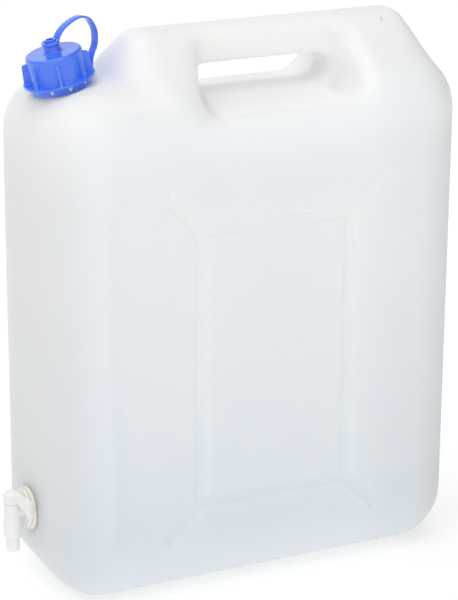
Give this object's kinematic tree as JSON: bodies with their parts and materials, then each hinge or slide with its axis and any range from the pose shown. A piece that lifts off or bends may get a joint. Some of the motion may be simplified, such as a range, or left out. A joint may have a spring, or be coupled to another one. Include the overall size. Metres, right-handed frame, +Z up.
{
  "type": "carboy with spigot",
  "caption": "Upright plastic water carboy with a moulded hand opening, a strapped screw cap on a leaning neck and a small quarter-turn drain tap near its foot.",
  "frame": {"origin": "centre of the can's resting face", "axes": "+Z up; X along the broad faces, with the neck and the tap at the -X end; Y from the front broad face to the back one"},
  "size_m": [0.3783, 0.156, 0.4632],
  "materials": {
    "natural_can": "translucent natural polyethylene, satin",
    "blue_cap": "moulded blue polyethylene, semi gloss",
    "white_tap": "moulded white polyethylene, semi gloss",
    "cream_seal": "soft cream sealing rubber",
    "dark_seal": "black rubber"
  },
  "bodies": {
    "can": {"carboy": "natural_can", "tap_body": "white_tap", "tap_washer": "cream_seal", "tap_nut": "white_tap"},
    "liner": {"cap_liner": "cream_seal"},
    "cap": {"screw_cap": "blue_cap"},
    "collar": {"strap_collar": "blue_cap", "strap_band": "blue_cap"},
    "eye": {"strap_eye": "blue_cap"},
    "plug": {"tap_plug": "white_tap", "plug_o_ring": "dark_seal"}
  },
  "joints": [
    {"name": "cap_lift", "type": "slide", "parent": "can", "child": "liner", "axis": [-0.225, 0, 0.9744], "range_m": [0, 0.0182]},
    {"name": "cap_spin", "type": "hinge", "parent": "liner", "child": "cap", "pos_m": [-0.144, 0, 0.4112], "axis": [-0.225, 0, 0.9744], "range_deg": [0, 1080]},
    {"name": "strap_swivel", "type": "hinge", "parent": "can", "child": "collar", "pos_m": [-0.144, 0, 0.4112], "axis": [-0.225, 0, 0.9744], "continuous": true},
    {"name": "eye_lift", "type": "slide", "parent": "collar", "child": "eye", "axis": [-0.225, 0, 0.9744], "range_m": [0, 0.0182], "deforming": ["strap_band"]},
    {"name": "tap_lever", "type": "hinge", "parent": "can", "child": "plug", "pos_m": [-0.193, 0, 0.068], "axis": [0, 0, -1], "range_deg": [0, 90]}
  ],
  "couplings": [
    {"joint": "cap_lift", "follows": "cap_spin", "m_per_rad": 0.00095493},
    {"joint": "eye_lift", "follows": "cap_spin", "m_per_rad": 0.00095493}
  ]
}
